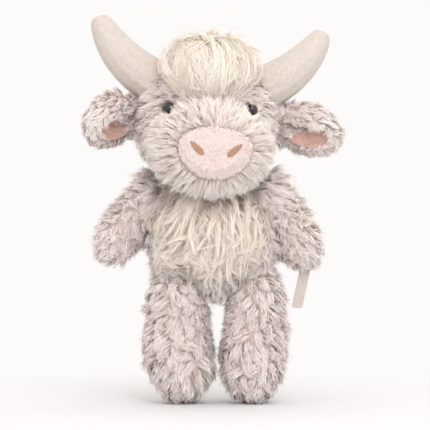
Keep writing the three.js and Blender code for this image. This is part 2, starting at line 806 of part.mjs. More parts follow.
const head = new THREE.Group();
head.add(...makeHead(), ...makeCrown());
head.position.set(0, 0, neckHeight);
head.rotation.set(0, radians(headRoll), radians(headYaw), 'ZYX');
cow.add(head);

for (const [name, side] of sides) {
  const ear = makeEar(name, side);
  const headFacet = (headWidth / 2) * Math.cos(Math.PI / headSides);
  const earSpread = headFacet + earRootRadius + seatGap;
  ear.position.set(headShift + side * earSpread, 0, earCentreHeight);
  const turn = side < 0 ? -earTurnLeft : earTurnRight;
  const droop = side < 0 ? earDroopLeft : earDroopRight;
  ear.rotation.set(0, radians(side * droop), radians(-turn), 'ZYX');
  head.add(ear);
  const arm = makeArm(name, side);
  if (side > 0) arm.add(makeTag());
  cow.add(arm, makeLeg(name, side));
}

const middle = new THREE.Box3().setFromObject(cow, true).getCenter(new THREE.Vector3());
cow.position.set(-middle.x, -middle.y, 0);

export default cow;
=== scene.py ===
import json
import math

import bpy
import numpy as np
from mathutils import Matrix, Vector
from mathutils.bvhtree import BVHTree
from mathutils.kdtree import KDTree


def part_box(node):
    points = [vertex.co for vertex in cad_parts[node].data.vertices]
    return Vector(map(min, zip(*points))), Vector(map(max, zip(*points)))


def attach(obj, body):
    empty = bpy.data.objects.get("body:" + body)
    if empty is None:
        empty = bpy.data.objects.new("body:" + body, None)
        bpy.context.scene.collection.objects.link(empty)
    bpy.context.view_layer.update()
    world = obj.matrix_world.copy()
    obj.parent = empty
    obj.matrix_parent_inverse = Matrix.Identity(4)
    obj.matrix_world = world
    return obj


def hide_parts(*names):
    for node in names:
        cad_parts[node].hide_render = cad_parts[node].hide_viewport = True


# Looks of a standing stuffed toy cow of long-pile fabric. Metres, +Z up, the toy faces -Y.
# Every cover becomes a smooth skin set back inside it, with fur that fills the cover's room.

MM = 0.001

# Photograph: the plane through the neck is this far from the camera, and this wide
CAMERA_DISTANCE = 1700 * MM
CAMERA_HEIGHT = 160.7 * MM
PHOTO_WIDTH = 367.65 * MM
SENSOR_WIDTH = 36

# The tag's cloth, laid flat, and how it hangs
TAG_LENGTH = 33 * MM
TAG_SLANT = 0.14
TAG_CURL = -0.8 * MM

# Skins: how fine they are, how far the fur's backing lies inside each cover, how they are
# smoothed, and how wide a cleft is closed under fur that runs across it
SKIN_VOXEL = 1.8 * MM
SKIN_INSET = 3.8 * MM
FINE_VOXEL = 0.8 * MM
EAR_INSET = 0.9 * MM
STEP_IN, STEP_OUT = 0.6, -0.61
CLEFT_CLOSING = 5 * MM
BROW_CLOSING = 7 * MM
EAR_CLOSING = 1.5 * MM

# Feet: the share of a leg's outer half width that is left at each height
FOOT_HEIGHTS = [0, 11 * MM, 20 * MM, 28 * MM, 37 * MM, 50 * MM]
FOOT_SHARES = [0.62, 0.68, 0.76, 0.86, 0.94, 1]
OUTER_SHARES = {"left": 1, "right": 0.86}

# Eyes: the half widths and half height of the leaning ovals that the fur leaves open
EYE_CLEAR_WIDTHS = (1.7 * MM, 1.8 * MM)
EYE_CLEAR_HEIGHT = 6.4 * MM
EYE_CLEAR_ROOTS = 4.6 * MM
EYE_LEAN = 0.35

# Fur: the most triangles of one piece, the taper of a strand and its half width on the map of
# tones; how much tones differ from tuft to tuft, lock to lock and strand to strand; how far
# locks and stray strands lean, how far strands roll, and over what distance their waves change
MOST_FACES = 195000
TAPER = 2.2
TONE_SHARE = 0.015
TUFT_TONES, LOCK_TONES, STRAND_TONES = 0.12, 0.12, 0.1
LOCK_LEAN, STRAY_LEAN = 0.7, 1.8
ROLL = 0.6
WAVE_REACH = 40 * MM

# How far from the seams, the inner side of a leg, the crown and the crotch the fur changes
SEAM_REACH = 14 * MM
SEAM_OVERLAP = 3 * MM
LEG_REACH = 24 * MM
CROWN_REACH = 30 * MM
CROTCH_CLEAR = 3 * MM
CROTCH_REACH = 20 * MM

# The two distances, or heights, that the fur changes between: from an eye, from a lining, from
# the muzzle, under the shoulders' ridge, over the sole, up a leg's inner side and from the belly
EYE_EDGE = (6 * MM, 10 * MM)
LINING_EDGE = (1 * MM, 4 * MM)
MUZZLE_EDGE = (4 * MM, 14 * MM)
COLLAR_DEPTHS = (24 * MM, 6 * MM)
SOLE_HEIGHTS = (6 * MM, 24 * MM)
INNER_HEIGHTS = (40 * MM, 70 * MM)
BELLY_EDGE = (3 * MM, 12 * MM)

# Light: each lamp's name, place, size and power; the studio's own light; the floor's size, and
# how far out it starts to fade and over what distance it does
LAMPS = [
    ("key", (0.42, -1.45, 1.28), 1.3, 9.7),
    ("low", (-0.3, -1.5, 0.2), 1.0, 1.9),
    ("top", (0, -0.35, 2.1), 1.4, 3.4),
    ("sparkle", (0.25, -1.5, 0.8), 0.28, 2.6),
]
STUDIO_LIGHT = (1.075, 1.02, 0.98)
FLOOR_SIZE = 8
FLOOR_CLEAR = 120 * MM
FLOOR_FADE = 250 * MM

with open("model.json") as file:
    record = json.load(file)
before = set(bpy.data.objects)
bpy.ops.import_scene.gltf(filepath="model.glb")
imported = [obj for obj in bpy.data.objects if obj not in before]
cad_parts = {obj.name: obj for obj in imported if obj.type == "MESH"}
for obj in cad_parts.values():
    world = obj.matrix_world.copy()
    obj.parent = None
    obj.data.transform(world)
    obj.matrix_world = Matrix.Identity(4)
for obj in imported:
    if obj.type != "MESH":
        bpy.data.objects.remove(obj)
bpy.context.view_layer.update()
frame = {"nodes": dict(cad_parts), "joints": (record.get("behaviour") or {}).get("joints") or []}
nodes = frame["nodes"]
joints = {joint["name"]: joint for joint in frame["joints"]}
neck = Vector(joints["neck_nod"]["pos_m"])
SIDES = ("left", "right")


# Shader building


class Value:
    """A shader value that arithmetic can be written with."""

    def __init__(self, tree, socket):
        self.tree = tree
        self.socket = socket

    def maths(self, operation, *others):
        sockets = dict(enumerate((self, *others)))
        return add_node(self.tree, "ShaderNodeMath", {"operation": operation}, sockets)

    def __add__(self, other):
        return self.maths("ADD", other)

    __radd__ = __add__

    def __mul__(self, other):
        return self.maths("MULTIPLY", other)

    __rmul__ = __mul__

    def __sub__(self, other):
        return self.maths("SUBTRACT", other)

    def __rsub__(self, other):
        return self * -1 + other

    def __truediv__(self, other):
        return self.maths("DIVIDE", other)

    def __pow__(self, other):
        return self.maths("POWER", other)

    def limited(self):
        return self.maths("MAXIMUM", 0).maths("MINIMUM", 1)


def feed(tree, place, value):
    """Sets a socket, or links it to a value."""
    if isinstance(value, Value):
        tree.links.new(value.socket, place)
    elif isinstance(value, (tuple, list)) and len(value) == 3 and place.type == "RGBA":
        place.default_value = (*value, 1)
    else:
        place.default_value = value


def add_node(tree, kind, settings, sockets, out=0):
    """A node of a kind: its settings first, then the values or links of its sockets."""
    node = tree.nodes.new(kind)
    for key, value in settings.items():
        setattr(node, key, value)
    for key, value in sockets.items():
        feed(tree, node.inputs[key], value)
    return Value(tree, node.outputs[out])


def mixed(tree, factor, first, second):
    """One colour turning into another."""
    sockets = {"Factor": factor, 6: first, 7: second}
    return add_node(tree, "ShaderNodeMix", {"data_type": "RGBA"}, sockets, 2)


def shown_rays(tree):
    """1 for a ray from the camera, or one that a glossy or a clear surface sends on."""
    kinds = ("Is Camera Ray", "Is Glossy Ray", "Is Transmission Ray")
    return sum(add_node(tree, "ShaderNodeLightPath", {}, {}, kind) for kind in kinds).limited()


def srgb(red, green, blue):
    """A linear colour from the 0 to 255 values of a screen."""
    return tuple(
        c / 12.92 if c <= 0.04045 else ((c + 0.055) / 1.055) ** 2.4
        for c in (red / 255, green / 255, blue / 255)
    )


class Paint:
    """A procedural material with one principled shader."""

    def __init__(self, name, **uniform):
        self.material = bpy.data.materials.new(name)
        self.material.use_nodes = True
        self.tree = self.material.node_tree
        self.shader = self.tree.nodes["Principled BSDF"]
        for socket, value in uniform.items():
            feed(self.tree, self.shader.inputs[socket.replace("_", " ").title()], value)

    def node(self, kind, settings=None, out=0, **sockets):
        return add_node(self.tree, kind, settings or {}, sockets, out)

    def mix(self, factor, first, second):
        return mixed(self.tree, factor, first, second)

    def place(self):
        """Where on the object: its own coordinates in metres."""
        return self.node("ShaderNodeTexCoord", out="Object")

    def share_of(self, vector, axis):
        """One coordinate of a vector."""
        return self.node("ShaderNodeSeparateXYZ", out=axis, Vector=vector)

    def noise(self, size, detail):
        return self.node(
            "ShaderNodeTexNoise", Vector=self.place(), Scale=1 / size, Detail=detail,
        )

    def colour(self, value):
        feed(self.tree, self.shader.inputs["Base Color"], value)

    def bump(self, height, depth):
        value = self.node("ShaderNodeBump", Height=height, Distance=depth)
        feed(self.tree, self.shader.inputs["Normal"], value)


def pile_paint(name, shaded_root_dark, shaded_root_light, tip_dark, tip_light, sheen=0.2):
    """Fur: each strand's tone runs across its own map, and its root to its tip runs up it, darker
    at the roots as painted shade deep in the pile.
    """
    paint = Paint(name, roughness=0.75, sheen_weight=sheen, sheen_roughness=0.5)
    spot = paint.node("ShaderNodeUVMap", {"uv_map": "OFBake"})
    tone, rise = paint.share_of(spot, "X"), paint.share_of(spot, "Y")
    roots = paint.mix(tone, shaded_root_dark, shaded_root_light)
    tips = paint.mix(tone, tip_dark, tip_light)
    # Painted shade: the colour runs from the darker roots up to the lighter tips, standing in for
    # the shade deep in the pile
    paint.colour(paint.mix((rise * 1.25).limited() ** 0.8, roots, tips))
    return paint.material


def cloth_paint(name, dark, light, size, depth):
    """Short pile or backing fabric, mottled at the scale of its nap."""
    paint = Paint(name, roughness=0.85, sheen_weight=0.3, sheen_roughness=0.4)
    nap = paint.noise(size, 4)
    cloud = paint.noise(size * 4, 2)
    paint.colour(paint.mix((nap * 0.55 + cloud * 0.75 - 0.15).limited(), dark, light))
    paint.bump(nap, depth)
    return paint.material


# Meshes


def arrays(obj):
    """An object's points and triangles."""
    mesh = obj.data
    mesh.calc_loop_triangles()
    points = np.empty(len(mesh.vertices) * 3)
    mesh.vertices.foreach_get("co", points)
    corners = np.empty(len(mesh.loop_triangles) * 3, np.int32)
    mesh.loop_triangles.foreach_get("vertices", corners)
    points = points.reshape(-1, 3)
    world = np.array(obj.matrix_world)
    return points @ world[:3, :3].T + world[:3, 3], corners.reshape(-1, 3)


def unit(vectors):
    """Directions, of length 1."""
    return vectors / np.maximum(np.linalg.norm(vectors, axis=-1, keepdims=True), 1e-12)


def point_normals(points, triangles):
    """Which way a mesh faces at each of its points, larger faces counting for more."""
    first, second, third = (points[triangles[:, k]] for k in range(3))
    faces = np.cross(second - first, third - first)
    normals = np.zeros_like(points)
    for k in range(3):
        np.add.at(normals, triangles[:, k], faces)
    return unit(normals)


def smoothed(points, edges, rounds):
    """Evens out facets and keeps the volume: a step in, then a slightly larger step out."""
    count = np.bincount(edges.ravel(), minlength=len(points))[:, None]
    for step in range(2 * rounds):
        total = np.zeros_like(points)
        np.add.at(total, edges[:, 0], points[edges[:, 1]])
        np.add.at(total, edges[:, 1], points[edges[:, 0]])
        points = points + (total / count - points) * (STEP_IN if step % 2 == 0 else STEP_OUT)
    return points


def set_points(mesh, points):
    """Moves a mesh's points to new places."""
    mesh.vertices.foreach_set("co", points.ravel())
    mesh.update()


def new_object(name, mesh, material):
    """A mesh with its material, in the scene."""
    obj = bpy.data.objects.new(name, mesh)
    bpy.context.collection.objects.link(obj)
    mesh.materials.append(material)
    return obj


def remeshed(name, mesh, voxel):
    """A mesh as one closed skin of even faces."""
    draft = bpy.data.objects.new(name + "_draft", mesh)
    bpy.context.collection.objects.link(draft)
    remesh = draft.modifiers.new("remesh", "REMESH")
    remesh.mode = "VOXEL"
    remesh.voxel_size = voxel
    evaluated = draft.evaluated_get(bpy.context.evaluated_depsgraph_get())
    result = bpy.data.meshes.new_from_object(evaluated)
    bpy.data.objects.remove(draft)
    result.name = name
    return result


def soft_form(name, parts, voxel, inset, rounds, material, closing=0):
    """One closed smooth skin round some CAD solids, set in from their surface.

    Closing fills the clefts between them that are narrower than twice its length.
    """
    points, faces = [], []
    for part in parts:
        own, triangles = arrays(nodes[part])
        faces.append(triangles + sum(len(p) for p in points))
        points.append(own)
    mesh = bpy.data.meshes.new(name)
    mesh.from_pydata(np.vstack(points).tolist(), [], np.vstack(faces).tolist())
    mesh = remeshed(name, mesh, voxel)
    if closing:
        draft = new_object(name + "_closing", mesh, material)
        points, triangles = arrays(draft)
        points = points + closing * point_normals(points, triangles)
        set_points(mesh, points)
        bpy.data.objects.remove(draft)
        mesh = remeshed(name, mesh, voxel)
        inset = inset + closing
    obj = new_object(name, mesh, material)
    points, triangles = arrays(obj)
    edges = np.empty(len(mesh.edges) * 2, np.int32)
    mesh.edges.foreach_get("vertices", edges)
    edges = edges.reshape(-1, 2)
    points = smoothed(points, edges, rounds)
    if inset:
        points = points - inset * point_normals(points, triangles)
        points = smoothed(points, edges, max(rounds // 2, 2))
    mesh.shade_smooth()
    set_points(mesh, points)
    return obj


def tree_of(*objs):
    """A search tree over objects' surfaces."""
    points, faces, start = [], [], 0
    for obj in objs:
        own, triangles = arrays(obj)
        points.append(own)
        faces.append(triangles + start)
        start += len(own)
    return BVHTree.FromPolygons(np.vstack(points).tolist(), np.vstack(faces).tolist())


# Fur


def scatter(skin, density, rng):
    """Random points on a skin, evenly by area, and the skin's direction there."""
    points, triangles = arrays(skin)
    normals = point_normals(points, triangles)
    corner = [points[triangles[:, k]] for k in range(3)]
    area = np.linalg.norm(np.cross(corner[1] - corner[0], corner[2] - corner[0]), axis=1) / 2
    count = int(area.sum() * density)
    pick = rng.choice(len(triangles), count, p=area / area.sum())
    share = rng.random((2, count))
    share = np.where(share.sum(0) > 1, 1 - share, share)
    weights = (1 - share.sum(0), share[0], share[1])
    where = sum(w[:, None] * corner[k][pick] for k, w in enumerate(weights))
    facing = sum(w[:, None] * normals[triangles[pick, k]] for k, w in enumerate(weights))
    return where, unit(facing)


def in_the_open(points, normals, tree, reach):
    """Which points have nothing of another piece within reach in front of them."""
    keep = np.ones(len(points), bool)
    if tree is None:
        return keep
    for index, (point, normal) in enumerate(zip(points, normals)):
        if tree.ray_cast(Vector(point), Vector(normal), reach)[0] is not None:
            keep[index] = False
    return keep


def gather(points, count, rng):
    """Gathers points into groups of about one size: each point's group, and the groups' middles."""
    count = max(min(int(count), len(points)), 1)
    middles = points[rng.choice(len(points), count, replace=False)]
    for _ in range(2):
        tree = KDTree(count)
        for index, middle in enumerate(middles):
            tree.insert(middle, index)
        tree.balance()
        owner = np.array([tree.find(point)[1] for point in points])
        size = np.maximum(np.bincount(owner, minlength=count), 1)[:, None]
        total = np.zeros((count, 3))
        np.add.at(total, owner, points)
        empty = np.bincount(owner, minlength=count) == 0
        middles = np.where(empty[:, None], middles, total / size)
    return owner, middles


def follow(starts, headings, skin_tree, length, rise, steps):
    """Lines that run over a skin from their starts, each point raised off it."""
    lines = np.empty((len(starts), steps + 1, 3))
    bases = np.empty_like(lines)
    outs = np.empty_like(lines)
    here = starts.copy()
    heading = headings.copy()
    for step in range(steps + 1):
        for index, point in enumerate(here):
            place, normal, _, _ = skin_tree.find_nearest(Vector(point))
            bases[index, step] = place
            outs[index, step] = normal
        out = outs[:, step]
        lines[:, step] = bases[:, step] + out * rise(step / steps)[:, None]
        heading = unit(heading - (heading * out).sum(1, keepdims=True) * out)
        here = bases[:, step] + heading * (length / steps)[:, None]
    return lines, outs


class Pile:
    """How one fabric's fur grows: sizes in metres, directions by a comb function.

    Strands gather into thin locks, and the locks into tufts that share one heading.
    """

    steps, waves, spread, droop, relief, uneven, sleek = 3, 0.7, 0.18, 0.75, 0.14, 0.12, 0.5

    def __init__(self, **sizes):
        self.__dict__.update(sizes)


def grow(name, skin, pile, comb, material, seed, hides=None, reach=None, keep=None, trim=None,
         loft=None, over=(), avoid=None):
    """Fur on a skin as one mesh of tapered ribbons gathered into locks and tufts.

    None grows within reach under what hides it, nor where keep or avoid says no. Trim gives a
    length factor by place, and loft a height factor where it isn't the same.
    """
    rng = np.random.default_rng(seed)
    roots, normals = scatter(skin, pile.density, rng)
    if keep is not None:
        chosen = keep(roots, normals)
        roots, normals = roots[chosen], normals[chosen]
    chosen = in_the_open(roots, normals, hides, reach)
    roots, normals = roots[chosen], normals[chosen]
    area = len(roots) / pile.density
    most = MOST_FACES // (2 * pile.steps - 1)
    if len(roots) > most:
        chosen = rng.choice(len(roots), most, replace=False)
        roots, normals = roots[chosen], normals[chosen]
    lock_of, locks = gather(roots, area / pile.lock**2, rng)
    tuft_of_lock, middles = gather(locks, area / pile.tuft**2, rng)
    owner = tuft_of_lock[lock_of]
    count = len(middles)
    skin_tree = tree_of(skin)
    found = [skin_tree.find_nearest(Vector(m)) for m in middles]
    seats = np.array([list(hit[0]) for hit in found])
    outs = np.array([list(hit[1]) for hit in found])
    flow = comb(seats, outs)
    flow = unit(flow - (flow * outs).sum(1, keepdims=True) * outs)
    turn = rng.normal(0, pile.wander, count)[:, None]
    heading = flow * np.cos(turn) + np.cross(outs, flow) * np.sin(turn)
    length = pile.length * rng.normal(1, pile.spread, count).clip(0.55, 1.5)
    height = pile.height * rng.normal(1, pile.relief, count).clip(0.4, 1.6)
    if trim is not None:
        length = length * trim(seats)
        height = height * (loft or trim)(seats)

    def rise(share):
        return height * math.sin(math.pi * pile.droop * share)

    run_tree = tree_of(skin, *over) if over else skin_tree
    lines, line_outs = follow(seats, heading, run_tree, length, rise, pile.steps)
    share = np.linspace(0, 1, pile.steps + 1)
    tangent = unit(np.gradient(lines, axis=1))
    across = unit(np.cross(tangent, line_outs))
    lines = lines + across * wave(seats, pile, share, rng)[..., None]
    own = rng.normal(1, pile.uneven, (len(roots), 1, 1)).clip(0.5, 1.35)
    strands = seats[owner][:, None] + (lines[owner] - lines[owner][:, :1]) * own
    group = (locks - seats[tuft_of_lock])[lock_of][:, None]
    apart = (roots - locks[lock_of])[:, None]
    loose = rng.random((len(roots), 1, 1)) < pile.stray
    strands = strands + group * (1 - pile.tuft_pull * share**0.8)[None, :, None]
    pull = np.where(loose, 0, pile.lock_pull) * share[None, :, None] ** 0.8
    strands = strands + apart * (1 - pull)
    lean = rng.normal(0, 1, (len(locks), 3))[lock_of] * LOCK_LEAN
    lean = (lean + rng.normal(0, 1, (len(roots), 3))) * np.where(loose[:, 0], STRAY_LEAN, 1)
    strands = strands + lean[:, None] * (pile.frizz * share**1.5)[None, :, None]
    tone = 0.5 + rng.normal(0, TUFT_TONES, count)[owner]
    tone = tone + rng.normal(0, LOCK_TONES, len(locks))[lock_of]
    tone = tone + rng.normal(0, STRAND_TONES, len(roots))
    outward = line_outs[owner]
    if avoid is not None:
        clear = avoid(strands)
        strands, tone, outward = strands[clear], tone[clear], outward[clear]
    roll = rng.normal(0, ROLL, len(strands))
    width = pile.width * rng.normal(1, 0.2, len(strands)).clip(0.5, 1.6)
    return ribbons(name, strands, outward, roll, width, tone, pile.sleek, material)


def drift(points, size):
    """A value about -1 to 1 that changes gently from place to place."""
    x, y, z = (points[:, k] / size * 2 * math.pi for k in range(3))
    slow = np.sin(x + 0.7 * z + 1.3) + np.sin(0.8 * z - 0.6 * x + 0.5 * y + 0.4)
    return (slow + np.sin(1.7 * x - 1.1 * z)) / 3


def wave(seats, pile, share, rng):
    """How far each tuft's line sways to the side on its way out, much like its neighbours'."""
    count = len(seats)
    phase = (1.2 * drift(seats, WAVE_REACH) + rng.normal(0, 0.12, count))[:, None] * 2 * math.pi
    beat = rng.normal(pile.waves, 0.15 * pile.waves, count)[:, None] * 2 * math.pi
    swing = np.sin(phase + beat * share) - np.sin(phase)
    return swing * pile.sway * rng.normal(1, 0.3, (count, 1))


def ribbons(name, strands, outs, roll, width, tone, sleek, material):
    """A mesh of one tapered ribbon a strand, mapped by tone across and by length up.

    Its shading follows the skin under it by the sleek share, and its own turn by the rest.
    """
    count, rings = strands.shape[0], strands.shape[1]
    tangent = unit(np.gradient(strands, axis=1))
    flat = unit(np.cross(tangent, outs))
    up = np.cross(flat, tangent)
    side = flat * np.cos(roll)[:, None, None] + up * np.sin(roll)[:, None, None]
    share = np.linspace(0, 1, rings)
    half = (width[:, None] / 2) * (1 - share**TAPER)[None]
    left = strands - side * half[..., None]
    right = strands + side * half[..., None]
    points = np.empty((count, 2 * rings - 1, 3))
    points[:, 0:-1:2] = left[:, :-1]
    points[:, 1:-1:2] = right[:, :-1]
    points[:, -1] = strands[:, -1]
    quads = [[2 * k, 2 * k + 1, 2 * k + 3, 2 * k + 2] for k in range(rings - 2)]
    tip = [2 * rings - 4, 2 * rings - 3, 2 * rings - 2]
    corners = np.array([c for quad in quads for c in quad] + tip)
    loops = (corners[None] + (2 * rings - 1) * np.arange(count)[:, None]).ravel()
    sizes = np.tile([4] * len(quads) + [3], count)
    starts = np.concatenate([[0], np.cumsum(sizes)[:-1]])
    mesh = bpy.data.meshes.new(name)
    mesh.vertices.add(points.shape[0] * points.shape[1])
    mesh.vertices.foreach_set("co", points.ravel())
    mesh.loops.add(len(loops))
    mesh.loops.foreach_set("vertex_index", loops.astype(np.int32))
    mesh.polygons.add(len(sizes))
    mesh.polygons.foreach_set("loop_start", starts.astype(np.int32))
    mesh.update(calc_edges=True)
    across = np.clip(tone, 0.02, 0.98)[:, None] + np.array([-TONE_SHARE, TONE_SHARE])[None]
    spots = np.empty((count, 2 * rings - 1, 2))
    spots[:, 0:-1:2, 0] = across[:, :1]
    spots[:, 1:-1:2, 0] = across[:, 1:]
    spots[:, -1, 0] = across.mean(1)
    spots[:, 0:-1:2, 1] = share[:-1]
    spots[:, 1:-1:2, 1] = share[:-1]
    spots[:, -1, 1] = 1
    layer = mesh.uv_layers.new(name="OFBake")
    layer.data.foreach_set("uv", spots.reshape(-1, 2)[loops].ravel())
    mesh.shade_smooth()
    facing = unit(np.cross(side, tangent))
    facing = facing * np.where((facing * outs).sum(-1, keepdims=True) < 0, -1, 1)
    facing = unit(facing * (1 - sleek) + outs * sleek)
    normals = np.empty_like(points)
    normals[:, 0:-1:2] = facing[:, :-1]
    normals[:, 1:-1:2] = facing[:, :-1]
    normals[:, -1] = facing[:, -1]
    mesh.normals_split_custom_set_from_vertices(normals.reshape(-1, 3).tolist())
    return new_object(name, mesh, material)


# Fabrics and their colours

# Each pile's first two colours, for the roots, are darker than its last two, for the tips: painted
# shade deep in the pile
BODY_PILE = pile_paint(
    "body_pile",
    srgb(226, 206, 200), srgb(246, 231, 227),
    srgb(241, 227, 222), srgb(254, 251, 250),
)
MUZZLE_PILE = pile_paint(
    "muzzle_pile",
    srgb(224, 208, 198), srgb(241, 229, 222),
    srgb(236, 225, 217), srgb(251, 246, 242),
)
BIB_PILE = pile_paint(
    "bib_pile",
    srgb(232, 210, 197), srgb(247, 231, 221),
    srgb(241, 226, 215), srgb(252, 247, 241),
)
CREAM_PILE = pile_paint(
    "cream_pile",
    srgb(250, 241, 229), srgb(255, 250, 241),
    srgb(252, 240, 226), srgb(255, 251, 245),
)
BIB_CREAM = pile_paint(
    "bib_cream",
    srgb(236, 212, 192), srgb(250, 236, 221),
    srgb(248, 238, 228), srgb(254, 250, 244),
)
BACKING = cloth_paint(
    "fur_backing", srgb(228, 212, 206), srgb(245, 233, 228), 0.8 * MM, 0.5 * MM,
)
NOSE_NAP = pile_paint(
    "nose_nap",
    srgb(251, 229, 222), srgb(255, 243, 239),
    srgb(253, 236, 231), srgb(255, 252, 250),
)
HORN_VELOUR = cloth_paint(
    "horn_velour", srgb(183, 172, 163), srgb(217, 209, 202), 0.8 * MM, 0.3 * MM,
)
NOSE_VELOUR = cloth_paint(
    "nose_velour", srgb(244, 216, 208), srgb(254, 238, 233), 0.9 * MM, 0.3 * MM,
)
EAR_VELOUR = cloth_paint(
    "ear_velour", srgb(176, 132, 118), srgb(232, 200, 190), 0.8 * MM, 0.4 * MM,
)


def eye_paint():
    """Glossy plastic, nearly black."""
    paint = Paint("eye_gloss", roughness=0.08, coat_weight=0.6, coat_roughness=0.03)
    cloud = paint.noise(2.5 * MM, 2)
    paint.colour(paint.mix(cloud, srgb(18, 15, 18), srgb(34, 29, 33)))
    return paint.material


def stitch_paint():
    """Satin stitch: threads side by side across each nostril, with painted shade darkening it where
    it falls to its edge.
    """
    paint = Paint("nostril_thread", roughness=0.45, sheen_weight=0.2)
    threads = paint.node(
        "ShaderNodeTexWave", {"bands_direction": "Z"}, Vector=paint.place(), Scale=1 / (3 * MM),
        Distortion=0.6, Detail=1,
    )
    backward = paint.share_of(paint.node("ShaderNodeTexCoord", out="Normal"), "Y")
    # Painted shade: the stitch goes dark brown where it turns away from the front toward its edge
    middle = ((backward * -1 - 0.72) * 5).limited()
    stitched = paint.mix(threads, srgb(150, 104, 78), srgb(196, 156, 132))
    paint.colour(paint.mix(middle, srgb(96, 62, 46), stitched))
    paint.bump(threads, 0.25 * MM)
    return paint.material


def tag_paint():
    """Woven ribbon: fine crossed threads."""
    paint = Paint("tag_ribbon", roughness=0.6, sheen_weight=0.15)
    scale = 1 / (4 * MM)
    warp, weft = (
        paint.node("ShaderNodeTexWave", {"bands_direction": way}, Vector=paint.place(), Scale=scale)
        for way in ("X", "Z")
    )
    weave = warp * 0.5 + weft * 0.5
    cloud = paint.noise(3 * MM, 2)
    tone = (weave * 0.4 + cloud * 0.6).limited()
    paint.colour(paint.mix(tone, srgb(184, 171, 163), srgb(213, 203, 196)))
    paint.bump(weave, 0.1 * MM)
    return paint.material


def plastic_paint(name, dark, light):
    """Dull moulded plastic."""
    paint = Paint(name, roughness=0.6)
    paint.colour(paint.mix(paint.noise(1.5 * MM, 3), dark, light))
    return paint.material


def dress(obj, body, slot, *replaced):
    """Puts a piece on its body in place of its CAD solids; its slot is not used."""
    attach(obj, body)
    if replaced:
        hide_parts(*replaced)
    return obj


def fleece(name, body, slot, *growth, replaced=(), **cut):
    """Grows one piece of fur and puts it on its body."""
    return dress(grow(name, *growth, **cut), body, slot, *replaced)


def stuffed(name, parts, body, slot, material, voxel=SKIN_VOXEL, inset=SKIN_INSET, rounds=6):
    """A padded skin in place of a cover and its filling."""
    skin = soft_form(name, parts, voxel, inset, rounds, material)
    dress(skin, body, slot, *parts)
    return skin


# Skins

HEAD_PARTS = ["head_cover", "head_filling", "muzzle_cover", "nose_patch"]

torso_skin = stuffed("torso_skin", ["torso_cover", "torso_filling"], "torso", "body_fur", BACKING)
stuffed(
    "chest_skin", ["chest_pile_patch"], "torso", "cream_pile", BACKING, inset=2.5 * MM,
)
head_skin = soft_form("head_skin", HEAD_PARTS, SKIN_VOXEL, SKIN_INSET, 6, BACKING)
dress(head_skin, "head", "body_fur", "head_cover", "head_filling")
forelock_skin = stuffed(
    "forelock_skin", ["forelock_pile_patch"], "head", "cream_pile", BACKING, inset=3 * MM,
)
tail_skin = stuffed("tail_skin", ["tail"], "tail", "body_fur", BACKING, FINE_VOXEL, 1 * MM, 4)
tuft_skin = stuffed(
    "tuft_skin", ["tail_tuft"], "tail", "cream_pile", BACKING, FINE_VOXEL, 2 * MM, 4,
)
horn_skins, ear_skins, ear_linings, arm_skins, leg_skins = {}, {}, {}, {}, {}
for side in SIDES:
    horn_skins[side] = stuffed(
        f"horn_{side}", [f"horn_cover_{side}", f"horn_filling_{side}"], "head", "horn_velour",
        HORN_VELOUR, 1.2 * MM, 0, 60,
    )
    ear_skins[side] = stuffed(
        f"ear_skin_{side}", [f"ear_cover_{side}"], f"ear_{side}", "body_fur", BACKING, FINE_VOXEL,
        EAR_INSET, 6,
    )
    ear_linings[side] = stuffed(
        f"ear_lining_{side}_velour", [f"ear_lining_{side}"], f"ear_{side}", "ear_velour",
        EAR_VELOUR, FINE_VOXEL / 2, 0, 6,
    )
    arm_skins[side] = stuffed(
        f"arm_skin_{side}", [f"arm_cover_{side}", f"arm_filling_{side}"], f"arm_{side}", "body_fur",
        BACKING,
    )
    leg_skins[side] = stuffed(
        f"leg_skin_{side}", [f"leg_cover_{side}", f"leg_filling_{side}"], f"leg_{side}", "body_fur",
        BACKING,
    )


def slim_leg(side):
    """Draws a leg's outer side in toward the foot, as the sewn leg tapers."""
    skin = leg_skins[side]
    low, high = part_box(f"leg_cover_{side}")
    middle = (low[0] + high[0]) / 2
    points = arrays(skin)[0]
    across = points[:, 0] - middle
    outer = across * (middle - neck.x) > 0
    share = np.interp(points[:, 2], FOOT_HEIGHTS, FOOT_SHARES) * OUTER_SHARES[side]
    points[:, 0] = middle + across * np.where(outer, share, 1)
    set_points(skin.data, points)


for side in SIDES:
    slim_leg(side)


# Fur by part


def middle_of(node):
    """The middle of a CAD node's box."""
    low, high = (np.array(c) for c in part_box(node))
    return (low + high) / 2


part_trees = {part: tree_of(nodes[part]) for part in ("head_cover", "muzzle_cover", "nose_patch")}


def nearest_part(points):
    """Which of the head's CAD parts each point lies in or nearest to."""
    names = list(part_trees)
    far = np.array([
        [part_trees[name].find_nearest(Vector(point))[3] for name in names] for point in points
    ])
    return np.array(names)[far.argmin(1)]


def from_part(points, name):
    """How far each point is from one of the head's CAD parts."""
    return np.array([part_trees[name].find_nearest(Vector(point))[3] for point in points])


nose_middle = middle_of("nose_patch")
torso_middle = middle_of("torso_cover")
torso_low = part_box("torso_cover")[0]
head_middle = middle_of("head_cover")
eye_middles = [middle_of(f"eye_{side}") for side in SIDES]


def clear_of_eyes(points):
    """Which roots stand clear of both eyes."""
    away = np.min([np.linalg.norm(points - eye, axis=1) for eye in eye_middles], axis=0)
    return away > EYE_CLEAR_ROOTS


